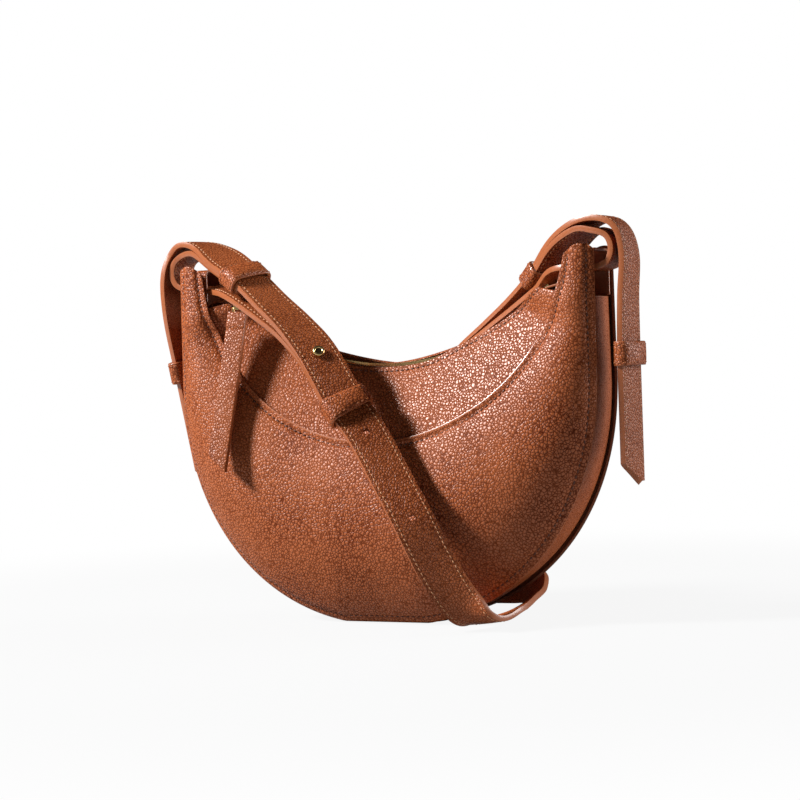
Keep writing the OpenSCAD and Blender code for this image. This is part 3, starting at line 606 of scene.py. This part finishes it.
def capPlace(side, s=capSet):
    stop = math.radians(s["stop"])
    inner = (zipRadius * math.sin(stop) + s["over"][0], zipMiddle - zipRadius * math.cos(stop) + s["over"][1])
    gussetTop = rimPoint(gussetSet["end"])[1]
    crown = (seamHalf - s["in"], gussetTop + s["rise"])
    outer = (bag["half"] - s["outer"], gussetTop)
    path = roundedPath([(*inner, 0), (*crown, 0), (*outer, 0), (outer[0], outer[1] - s["leg"], 0)], s["bevel"])

    def place(a, b):
        p, run = onPath(path, a)
        return Vector((side * p.x, (2 * b - 1) * s["half"], p.y)), Vector((-side * run.y, 0, run.x))
    return place


for side, word in ((-1, "left"), (1, "right")):
    bridge = makeSheet(word + "HornBridge", 60, 14, bridgePlace(side), hornSet["wall"],
                       (sideLeather, edgePaint, innerFace))
    finishPiece(bridge, "bag", "trim_leather", word + "_horn_bridge")
    cap = makeSheet(word + "EndCap", 50, 16, capPlace(side), hornSet["wall"],
                    (sideLeather, edgePaint, innerFace))
    finishPiece(cap, "bag", "trim_leather", word + "_end_cap")
print("gusset and horns made")

# Padding, lining and pocket
insideSet = {"foamEnd": 13 / 16, "foamLines": (0.14, 0.9), "foamOff": 3.4, "foam": 1.2, "liningOff": 5.2,
             "lining": 0.6, "board": 1.8, "boardEnd": 5 / 16, "boardOff": 1.7, "floorWide": 0.78,
             "pocketEnd": 0.25, "pocketLines": (0.26, 0.8), "pocketOff": 0.9}


def layerPlace(side, end, lines, off):
    def place(a, b):
        return under(side, end * (2 * a - 1), mixed(lines[0], lines[1], b), off)
    return place


def liningPlace(a, b):
    u = insideSet["foamEnd"] * (2 * a - 1)
    low, high = insideSet["foamLines"]
    if b < 0.4:
        return under(-1, u, mixed(high, low, b / 0.4), insideSet["liningOff"])
    if b > 0.6:
        return under(1, u, mixed(low, high, (b - 0.6) / 0.4), insideSet["liningOff"])
    return gussetPoint(u, insideSet["floorWide"] * (b - 0.5) / 0.1,
                       bag["leather"] + insideSet["board"] + insideSet["lining"])


def boardPlace(a, b):
    return gussetPoint(insideSet["boardEnd"] * (2 * a - 1), insideSet["floorWide"] * (2 * b - 1),
                       insideSet["boardOff"])


for side, word in ((-1, "front"), (1, "back")):
    layer = layerPlace(side, insideSet["foamEnd"], insideSet["foamLines"], insideSet["foamOff"])
    foam = makeSheet(word + "Padding", 80, 24, layer, insideSet["foam"], (paddingFoam,), bevel=0)
    finishPiece(foam, "bag", "foam", word + "_foam")
lining = makeSheet("liningBag", 100, 60, liningPlace, insideSet["lining"], (liningCloth,), bevel=0)
finishPiece(lining, "bag", "cloth", "lining")
board = makeSheet("stiffBaseBoard", 40, 10, boardPlace, insideSet["board"], (baseBoardCard,), bevel=0.2)
finishPiece(board, "bag", "board", "base_board")
pocket = makeSheet("slipPocket", 40, 24, layerPlace(1, insideSet["pocketEnd"], insideSet["pocketLines"],
                   insideSet["liningOff"] + insideSet["pocketOff"]), insideSet["lining"], (liningCloth,),
                   bevel=0)
finishPiece(pocket, "bag", "cloth", "inner_pocket")
print("inside made")

# Straps
# Points of the routes, as shares of half the bag's width, of the front's depth and of the
# bag's height, each with the way the strap faces there and its layers below the main strap
routeScale = (128.0, 44.0, 205.0)
tailRoute = [
    (-1.03, 0.4, 0.371, -1, 0.12, 0), (-1.0357, 0.3524, 0.421, -1, 0.12, 0),
    (-1.0492, 0.239, 0.54, -1, 0.12, 0), (-1.0681, 0.081, 0.706, -1, 0.12, 0),
    (-1.085, -0.06, 0.854, -1, 0.12, 0), (-1.1, -0.05, 0.961, -1, 0.05, 0.05),
    (-1.072, 0, 1.031, -0.8, 0, 0.6), (-1, -0.02, 1.06, -0.1, 0, 1),
    (-0.895, -0.1, 1.05, 0.3, -0.15, 0.93), (-0.763, -0.295, 1.009, 0.3, -0.42, 0.85),
    (-0.625, -0.5, 0.959, 0.42, -0.38, 0.83), (-0.471, -0.648, 0.882, 0.5, -0.41, 0.76),
    (-0.34, -0.739, 0.815, 0.51, -0.5, 0.7), (-0.212, -0.841, 0.734, 0.48, -0.68, 0.56),
    (-0.057, -0.989, 0.598, 0.44, -0.75, 0.49)]
loopRoute = [
    (0.043, -1.045, 0.521, 0.44, -0.75, 0.49), (0.166, -1.182, 0.411, 0.42, -0.77, 0.48),
    (0.286, -1.307, 0.299, 0.44, -0.83, 0.31), (0.378, -1.25, 0.175, 0.45, -0.88, 0.1),
    (0.464, -1.114, 0.072, 0.3, -0.9, -0.25), (0.54, -0.92, 0.026, 0.1, -0.2, -0.98),
    (0.575, -0.5, 0.03, 0.3, 0, -0.95), (0.575, -0.05, 0.036, 0.5, 0.05, -0.86),
    (0.565, 0.4, 0.045, 0.62, 0.1, -0.78), (0.54, 0.76, 0.062, 0.75, 0.35, -0.5),
    (0.46, 1.06, 0.073, 0.5, 0.85, -0.1), (0.328, 1.3, 0.066, 0.1, 1, 0),
    (0.094, 1.43, 0.064, -0.05, 1, 0), (-0.156, 1.42, 0.088, -0.25, 0.97, 0),
    (-0.312, 1.33, 0.18, -0.2, 0.97, 0), (-0.284, 1.24, 0.297, -0.35, 0.9, 0.2),
    (-0.166, 1.13, 0.411, -0.42, 0.77, 0.48), (-0.043, 1.02, 0.51, -0.44, 0.75, 0.49)]
riseRoute = [
    (0.06, 0.94, 0.585, -0.44, 0.75, 0.49), (0.24, 0.81, 0.7, -0.48, 0.68, 0.56),
    (0.4, 0.7, 0.782, -0.51, 0.5, 0.7), (0.55, 0.57, 0.855, -0.5, 0.41, 0.76),
    (0.672, 0.43, 0.922, -0.46, 0.36, 0.81), (0.79, 0.25, 1.0, -0.38, 0.36, 0.85),
    (0.905, 0.09, 1.05, -0.3, 0.15, 0.93), (1.01, 0.02, 1.06, 0.1, 0, 1),
    (1.085, 0, 1.031, 0.8, 0, 0.6), (1.115, 0, 0.961, 1, -0.05, 0.05),
    (1.105, 0, 0.854, 1, -0.08, 0), (1.1, 0, 0.706, 1, -0.12, 0),
    (1.1, 0, 0.54, 1, -0.12, 0), (1.1, 0, 0.421, 1, -0.12, 0), (1.1, 0, 0.371, 1, -0.12, 0)]
anchorRoute = [
    (-0.018, -1.01, 0.567, 0.44, -0.75, 0.49, 1), (-0.057, -0.989, 0.598, 0.44, -0.75, 0.49, 1),
    (-0.212, -0.841, 0.734, 0.48, -0.68, 0.56, 1), (-0.34, -0.739, 0.815, 0.51, -0.5, 0.7, 1.3),
    (-0.471, -0.648, 0.882, 0.5, -0.41, 0.76, 2.2), (-0.625, -0.5, 0.959, 0.42, -0.38, 0.83, 3.77),
    (-0.83, -0.05, 0.929, 0, -0.1, 1, 0), (-0.92, 0, 0.933, 0, 0, 1, 0),
    (-1, 0, 0.935, 0.05, 0, 1, 0), (-1.043, 0, 0.948, 0.6, 0, 0.8, 0),
    (-1.06, 0, 0.979, 1, 0, 0, 0), (-1.043, 0, 1.01, 0.7, 0, -0.7, 0),
    (-0.992, -0.01, 1.026, 0.1, 0, -1, 0), (-0.895, -0.1, 1.05, -0.3, 0.15, -0.93, -1.3),
    (-0.763, -0.295, 1.009, -0.3, 0.42, -0.85, -1.05), (-0.625, -0.5, 0.959, -0.42, 0.38, -0.83, -1.05),
    (-0.58, -0.545, 0.938, -0.45, 0.39, -0.8, -1.1)]
backAnchorRoute = [
    (0.018, 0.97, 0.556, -0.44, 0.75, 0.49, 1), (0.06, 0.94, 0.585, -0.44, 0.75, 0.49, 1),
    (0.24, 0.81, 0.7, -0.48, 0.68, 0.56, 1), (0.4, 0.7, 0.782, -0.51, 0.5, 0.7, 1.3),
    (0.55, 0.57, 0.855, -0.5, 0.41, 0.76, 2), (0.672, 0.43, 0.922, -0.46, 0.36, 0.81, 3.05),
    (0.83, 0.05, 0.929, 0, 0.1, 1, 0), (0.92, 0, 0.933, 0, 0, 1, 0),
    (1, 0, 0.935, -0.05, 0, 1, 0), (1.043, 0, 0.948, -0.6, 0, 0.8, 0),
    (1.06, 0, 0.979, -1, 0, 0, 0), (1.043, 0, 1.01, -0.7, 0, -0.7, 0),
    (0.992, 0.01, 1.026, -0.1, 0, -1, 0), (0.905, 0.09, 1.05, 0.3, -0.15, -0.93, -1.33),
    (0.79, 0.25, 1.0, 0.38, -0.36, -0.85, -1.09), (0.672, 0.43, 0.922, 0.46, -0.36, -0.81, -1.08),
    (0.636, 0.471, 0.902, 0.48, -0.38, -0.79, -1.12)]
strapSet = {"wide": 22.0, "thick": 3.0, "layer": 3.3, "steps": 7, "across": 14, "stitchIn": 2.1,
            "dent": 0.28, "dentWide": 0.9, "crown": 0.25, "tip": 10.0, "round": 9.0, "bevel": 0.6}


def routeLine(route, steps):
    pts = []
    for p in route:
        f = Vector(p[3:6]).normalized()
        shift = p[6] * strapSet["layer"] if len(p) > 6 else 0
        pts.append((Vector(a * b for a, b in zip(p, routeScale)) - f * shift, Vector(p[3:6])))
    out = []
    for i in range(len(pts) - 1):
        a, b, c, d = (pts[max(0, min(len(pts) - 1, j))] for j in (i - 1, i, i + 1, i + 2))
        for j in range(steps):
            t = j / steps
            out.append(tuple(0.5 * (2 * b[k] + (c[k] - a[k]) * t
                                    + (2 * a[k] - 5 * b[k] + 4 * c[k] - d[k]) * t * t
                                    + (3 * b[k] - a[k] - 3 * c[k] + d[k]) * t ** 3) for k in (0, 1)))
    out.append(pts[-1])
    framed = []
    for i, (p, f) in enumerate(out):
        run = (out[min(len(out) - 1, i + 1)][0] - out[max(0, i - 1)][0]).normalized()
        n = (f - run * f.dot(run)).normalized()
        framed.append((p, run, n, run.cross(n)))
    return framed


def lineAt(line, t):
    k = min(len(line) - 2, int(t * (len(line) - 1)))
    f = t * (len(line) - 1) - k
    return tuple(line[k][j].lerp(line[k + 1][j], f) for j in range(4))


def strapPlace(line, ends, s=strapSet):
    lengths = [0.0]
    for a, b in zip(line, line[1:]):
        lengths.append(lengths[-1] + (b[0] - a[0]).length)
    total = lengths[-1]

    def place(a, b):
        k = min(len(line) - 2, int(a * (len(line) - 1)))
        p, run, n, wide = lineAt(line, a)
        f = a * (len(line) - 1) - k
        where = mixed(lengths[k], lengths[k + 1], f)
        share = 2 * b - 1
        half = s["wide"] / 2
        edge = half * (1 - abs(share))
        if ends == "slanted":
            fromEnd = min(where, total - where)
            lower = mixed(0.7, -1, min(1.0, fromEnd / s["tip"]))
            share = mixed(-1, -lower, b)
        else:
            share *= max(0.08, math.sqrt(1 - (1 - min(1.0, where / s["round"])) ** 2))
        crown = s["crown"] * (1 - share * share)
        off = s["dent"] * math.exp(-((edge - s["stitchIn"]) / s["dentWide"]) ** 2) - crown
        return p + wide * share * half + n * (s["thick"] / 2 - off - s["crown"]), n
    return place


def strapStitches(name, line, body, s=strapSet):
    for sign, word in ((-1, "A"), (1, "B")):
        aside, up = sign * (s["wide"] / 2 - s["stitchIn"]), s["thick"] / 2 - s["dent"] - 0.12
        edge = [(p + wide * aside + n * up, n) for p, run, n, wide in line]
        makeStitches(name + word, edge, body, "strap_leather", strapStitchSet, strapThreadLit, 3)


mainLine = routeLine(tailRoute + loopRoute + riseRoute, strapSet["steps"])
leftAnchorLine = routeLine(anchorRoute, strapSet["steps"])
rightAnchorLine = routeLine(backAnchorRoute, strapSet["steps"])
strapMaterials = (strapLeather, edgePaint, gussetLeather)
steps = strapSet["steps"]
stations = {"tailKeeper": 3, "upperKeeper": 10, "stud": 13, "lowerKeeper": 14, "holes": (15, 17)}


punchSet = {"radius": 1.8, "depth": 12.0, "sides": 24}


def punchHoles(strap, line, marks, s=punchSet):
    for k in marks:
        p, run, n, wide = line[k]
        deselectAll()
        bpy.ops.mesh.primitive_cylinder_add(vertices=s["sides"], radius=s["radius"] * mm, depth=s["depth"] * mm)
        cutter = bpy.context.object
        cutter.matrix_world = Matrix.Translation(p * mm) @ Matrix((run, wide, n)).transposed().to_4x4()
        bpy.context.view_layer.update()
        cut = strap.modifiers.new("hole", "BOOLEAN")
        cut.object, cut.operation, cut.solver = cutter, "DIFFERENCE", "EXACT"
        deselectAll()
        strap.select_set(True)
        bpy.context.view_layer.objects.active = strap
        bpy.ops.object.modifier_apply(modifier="hole")
        bpy.data.objects.remove(cutter)


mainStrap = makeSheet("mainStrap", len(mainLine) * 2, strapSet["across"],
                      strapPlace(mainLine, "slanted"), strapSet["thick"], strapMaterials,
                      bevel=strapSet["bevel"])
punchHoles(mainStrap, mainLine, [steps * k for k in stations["holes"]])
finishPiece(mainStrap, "bag", "strap_leather", "main_strap")
strapStitches("mainStrapStitches", mainLine, "bag")
for word, line in (("left", leftAnchorLine), ("right", rightAnchorLine)):
    o = makeSheet(word + "AnchorStrap", len(line) * 2, strapSet["across"], strapPlace(line, "round"),
                  strapSet["thick"], strapMaterials, bevel=strapSet["bevel"])
    finishPiece(o, "bag", "strap_leather", word + "_anchor_strap")
    strapStitches(word + "AnchorStitches", line, "bag")
print("straps made")

# Keepers
keeperSet = {"wide": 13.0, "wall": 1.8, "gap": 0.5, "rise": 0.3, "corner": 4.4, "puff": 2.0, "bevel": 0.4}


def keeperPlace(line, station, below, s=keeperSet):
    half = strapSet["wide"] / 2 + s["gap"] + s["wall"] + s["rise"]
    up = strapSet["thick"] / 2 + s["gap"] + s["wall"] + s["rise"]
    down = -(below * strapSet["layer"] + strapSet["thick"] / 2 + s["gap"] + s["wall"])
    corners = [(0, up, 0), (half, up, 0), (half, down, 0), (-half, down, 0), (-half, up, 0), (0, up, 0)]
    path = roundedPath(corners, min(s["corner"], (up - down) / 2 - 0.1), 5)
    lengths = [0.0]
    for a, b in zip(line, line[1:]):
        lengths.append(lengths[-1] + (b[0] - a[0]).length)

    def place(a, b):
        p, run = onPath(path, a)
        want = lengths[station] + (b - 0.5) * s["wide"]
        k = 0
        while k < len(line) - 2 and lengths[k + 1] < want:
            k += 1
        f = (want - lengths[k]) / (lengths[k + 1] - lengths[k])
        c, along, n, wide = (line[k][j].lerp(line[k + 1][j], f) for j in range(4))
        bulge = s["puff"] * (1 - (p.x / half) ** 2) * (1 - (2 * b - 1) ** 4)
        crown = 1 + bulge / abs(up) if p.y > 0 else 1
        return c + wide * p.x + n * p.y * crown, wide * -run.y + n * run.x
    return place


last = len(mainLine) - 1
keeperList = [("frontUpperKeeper", steps * stations["upperKeeper"], 1, "bag", "front_upper_keeper"),
              ("backUpperKeeper", last - steps * stations["upperKeeper"], 1, "bag", "back_upper_keeper"),
              ("frontLowerKeeper", steps * stations["lowerKeeper"], 1, "front_keeper", "front_lower_keeper"),
              ("backLowerKeeper", last - steps * stations["lowerKeeper"], 1, "back_keeper",
               "back_lower_keeper"),
              ("leftTailKeeper", steps * stations["tailKeeper"], 0, "left_keeper", "left_tail_keeper"),
              ("rightTailKeeper", last - steps * stations["tailKeeper"], 0, "right_keeper",
               "right_tail_keeper")]
for name, station, below, body, cad in keeperList:
    o = makeSheet(name, 90, 10, keeperPlace(mainLine, station, below), keeperSet["wall"],
                  (sideLeather, edgePaint, innerFace), closed=True, bevel=keeperSet["bevel"])
    finishPiece(o, body, "strap_leather", cad)
    place = keeperPlace(mainLine, station, below)
    for row, share in (("A", 0.13), ("B", 0.87)):
        ring = [place(0.02 + 0.96 * i / 80, share) for i in range(81)]
        ring = [(p, f if f.dot(p - mainLine[station][0]) > 0 else -f) for p, f in ring]
        makeStitches(name + "Stitches" + row, ring, body, "strap_leather", strapStitchSet, orangeThread)
print("keepers made")

# Pull
pullSet = {"wide": 12.0, "length": 97.0, "thick": 3.0, "lean": 16.3, "tilt": 2.0, "slant": 9.0,
           "fold": 2.4, "drop": 6.3, "hollow": 0.25, "crease": (0.4, 7.5, 0.7), "swell": (0.6, 6.0, 2.0),
           "bevel": 0.6}


def makePull(s):
    hinge = next(j for j in frame["joints"] if j["name"] == "pull_swing")
    start = Vector(hinge["pos_m"]) / mm
    tilted = Matrix.Rotation(math.radians(s["tilt"]), 3, "Y")
    turned = tilted @ Matrix.Rotation(math.radians(-s["lean"]), 3, "X")
    creaseDeep, creaseAt, creaseWide = s["crease"]
    swellHigh, swellAt, swellOver = s["swell"]

    def place(a, b):
        x = 2 * b - 1
        low = s["length"] - s["drop"] - s["slant"] * (1 - b)
        z = mixed(s["fold"], -low, a)
        fold = creaseDeep * math.exp(-((-z - creaseAt) / creaseWide) ** 2)
        fold -= swellHigh * (1 - smooth((-z - swellAt) / swellOver))
        spot = Vector((x * s["wide"] / 2, -s["thick"] / 2 + s["hollow"] * x * x + fold, z))
        return start + turned @ spot, turned @ Vector((0, -1, 0))
    o = makeSheet("leatherPull", 110, 10, place, s["thick"], (strapLeather, edgePaint, strapLeather),
                  bevel=s["bevel"])
    finishPiece(o, "pull", "trim_leather", "leather_pull")


makePull(pullSet)
print("pull made")

# Raised rings on the stud heads, and thin dark discs in their middles as painted reflection of the dished heads
studSet = {"ring": 2.45, "wire": 0.85, "dish": 1.5, "dishHigh": 0.3}
for side, k in (("left", steps * stations["stud"]), ("right", last - steps * stations["stud"])):
    p, run, up, wide = mainLine[k]
    turned = Matrix((run, wide, up)).transposed().to_4x4()
    deselectAll()
    head = frame["nodes"][side + "_stud"]
    top = max((head.matrix_world @ v.co / mm - p).dot(up) for v in head.data.vertices)
    bpy.ops.mesh.primitive_torus_add(major_radius=studSet["ring"] * mm, minor_radius=studSet["wire"] * mm,
                                     major_segments=36, minor_segments=12)
    rim = bpy.context.object
    rim.name = rim.data.name = side + "StudRim"
    rim.data.transform(Matrix.Translation((p + up * top) * mm) @ turned)
    rim.data.materials.append(goldMetal)
    bpy.ops.object.shade_smooth()
    finishPiece(rim, "bag", "brass")
    deselectAll()
    bpy.ops.mesh.primitive_cylinder_add(vertices=24, radius=studSet["dish"] * mm,
                                        depth=studSet["dishHigh"] * mm)
    dot = bpy.context.object
    dot.name = dot.data.name = side + "StudDishReflection"
    dot.data.transform(Matrix.Translation((p + up * (top + studSet["dishHigh"] / 2)) * mm) @ turned)
    dot.data.materials.append(dishReflectionMetal)
    finishPiece(dot, "bag", "brass")

# Metal and zip nodes
for name, o in frame["nodes"].items():
    if any(word in name for word in ("teeth", "stop", "slider", "ring", "stud")):
        o.data.materials.clear()
        o.data.materials.append(goldMetal)
    elif "tape" in name:
        o.data.materials.clear()
        o.data.materials.append(zipCloth)
print("metal painted")

# Studio
studioSet = {"floor": (0.35, 0.35, 0.35), "ambient": 0.05, "near": 0.9, "reach": (0.3, 0.62),
             "lamps": [("key", (-1.42, -0.97, 1.36), 0.35, 98.0),
                       ("fill", (1.35, 0.85, 0.6), 1.0, 28.0)]}


def addStudio(s):
    bpy.ops.mesh.primitive_plane_add(size=12, location=(0, 0, -0.0006))
    floor = bpy.context.object
    floor.name = "floor"
    m, t, b = newMaterial("floorPaint")
    b.inputs["Base Color"].default_value = (*s["floor"], 1)
    b.inputs["Roughness"].default_value = 0.9
    rays = node(t, "ShaderNodeLightPath")
    glow = node(t, "ShaderNodeEmission", Strength=1.0)
    mix = node(t, "ShaderNodeMixShader")
    where = node(t, "ShaderNodeNewGeometry")
    away = node(t, "ShaderNodeVectorMath", operation="LENGTH")
    link(t, where.outputs["Position"], away.inputs[0])
    whiter = node(t, "ShaderNodeMapRange", interpolation_type="SMOOTHSTEP")
    whiter.inputs["From Min"].default_value, whiter.inputs["From Max"].default_value = s["reach"]
    whiter.inputs["To Min"].default_value = s["near"]
    link(t, away.outputs["Value"], whiter.inputs["Value"])
    amount = node(t, "ShaderNodeMath", operation="MULTIPLY")
    link(t, whiter.outputs["Result"], amount.inputs[1])
    link(t, rays.outputs["Is Camera Ray"], amount.inputs[0])
    link(t, amount.outputs[0], mix.inputs[0])
    link(t, b.outputs[0], mix.inputs[1])
    link(t, glow.outputs[0], mix.inputs[2])
    link(t, mix.outputs[0], t.nodes["Material Output"].inputs["Surface"])
    floor.data.materials.append(m)
    world = bpy.data.worlds.new("world")
    bpy.context.scene.world = world
    world.use_nodes = True
    w = world.node_tree
    back = w.nodes["Background"]
    rays = node(w, "ShaderNodeLightPath")
    seen = node(w, "ShaderNodeMath", operation="MAXIMUM")
    link(w, rays.outputs["Is Camera Ray"], seen.inputs[0])
    link(w, rays.outputs["Is Transmission Ray"], seen.inputs[1])
    level = node(w, "ShaderNodeMapRange")
    level.inputs["To Min"].default_value, level.inputs["To Max"].default_value = s["ambient"], 1.0
    link(w, seen.outputs[0], level.inputs["Value"])
    link(w, level.outputs["Result"], back.inputs["Strength"])
    back.inputs["Color"].default_value = (1, 1, 1, 1)
    for name, place, size, power in s["lamps"]:
        data = bpy.data.lights.new(name, "AREA")
        data.size, data.energy = size, power
        lamp = bpy.data.objects.new(name, data)
        bpy.context.scene.collection.objects.link(lamp)
        lamp.location = place
        lamp.rotation_euler = (Vector(place) - Vector((0, 0, 0.1))).to_track_quat("Z", "Y").to_euler()


addStudio(studioSet)
bpy.context.scene.view_settings.view_transform = "Standard"
print("studio made")
